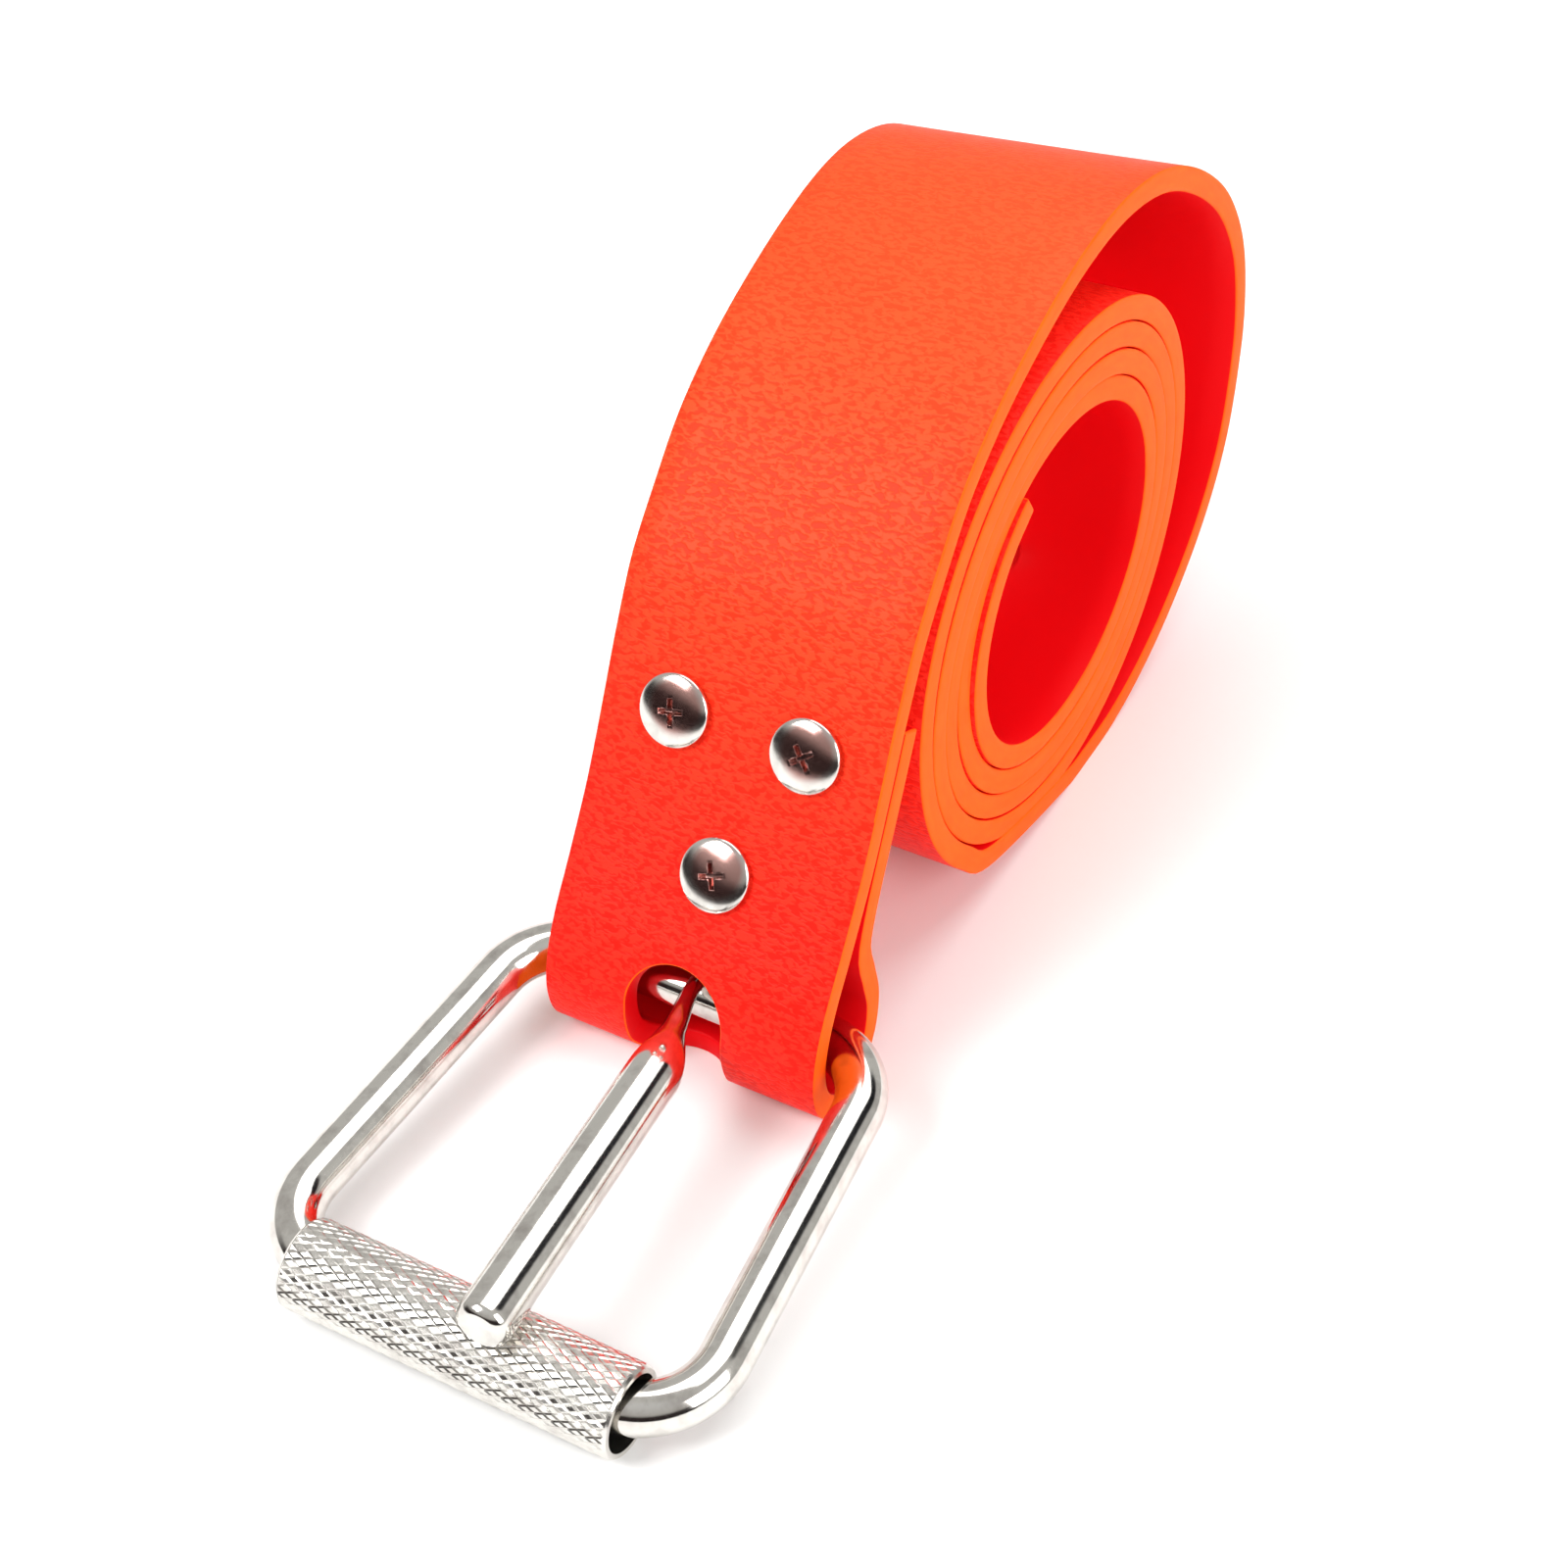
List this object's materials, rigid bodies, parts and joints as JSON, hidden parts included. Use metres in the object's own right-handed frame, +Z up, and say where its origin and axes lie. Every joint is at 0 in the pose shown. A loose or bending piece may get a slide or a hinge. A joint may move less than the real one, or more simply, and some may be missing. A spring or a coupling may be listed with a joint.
{
  "type": "dive weight belt",
  "caption": "Rolled rubber dive weight belt; round-wire frame, knurled roller and pin tongue hooked in its folded end, held by binding screws.",
  "frame": {"origin": "middle of the bounding box at its base, on the surface the belt stands on", "axes": "+X across the strap to the side the roll opens towards, +Y from the buckle to the roll, +Z up"},
  "size_m": [0.0812, 0.2317, 0.1135],
  "materials": {
    "strap": "neon orange-red, fine leather grain on the outer face, smooth cut edges",
    "buckle_frame": "bright nickel-plated round wire",
    "roller": "bright, diamond knurled",
    "tongue": "bright nickel-plated round rod",
    "screws": "bright low domed heads with a cross recess",
    "posts": "bright flat heads"
  },
  "bodies": {
    "belt": {"strap": "strap", "screw_left": "screws", "screw_right": "screws", "screw_lower": "screws", "post_left": "posts", "post_right": "posts", "post_lower": "posts"},
    "frame": {"buckle_frame": "buckle_frame"},
    "roller": {"roller": "roller"},
    "tongue": {"tongue": "tongue"}
  },
  "joints": [
    {"name": "frame_swing", "type": "hinge", "parent": "belt", "child": "frame", "pos_m": [0, -0.0368, 0.0129], "axis": [-1, 0, 0], "range_deg": [-90, 0]},
    {"name": "tongue_swing", "type": "hinge", "parent": "frame", "child": "tongue", "pos_m": [0, -0.0368, 0.0129], "axis": [-1, 0, 0], "range_deg": [0, 20]},
    {"name": "roller_spin", "type": "hinge", "parent": "frame", "child": "roller", "pos_m": [0, -0.1085, 0.0074], "axis": [1, 0, 0], "continuous": true}
  ]
}
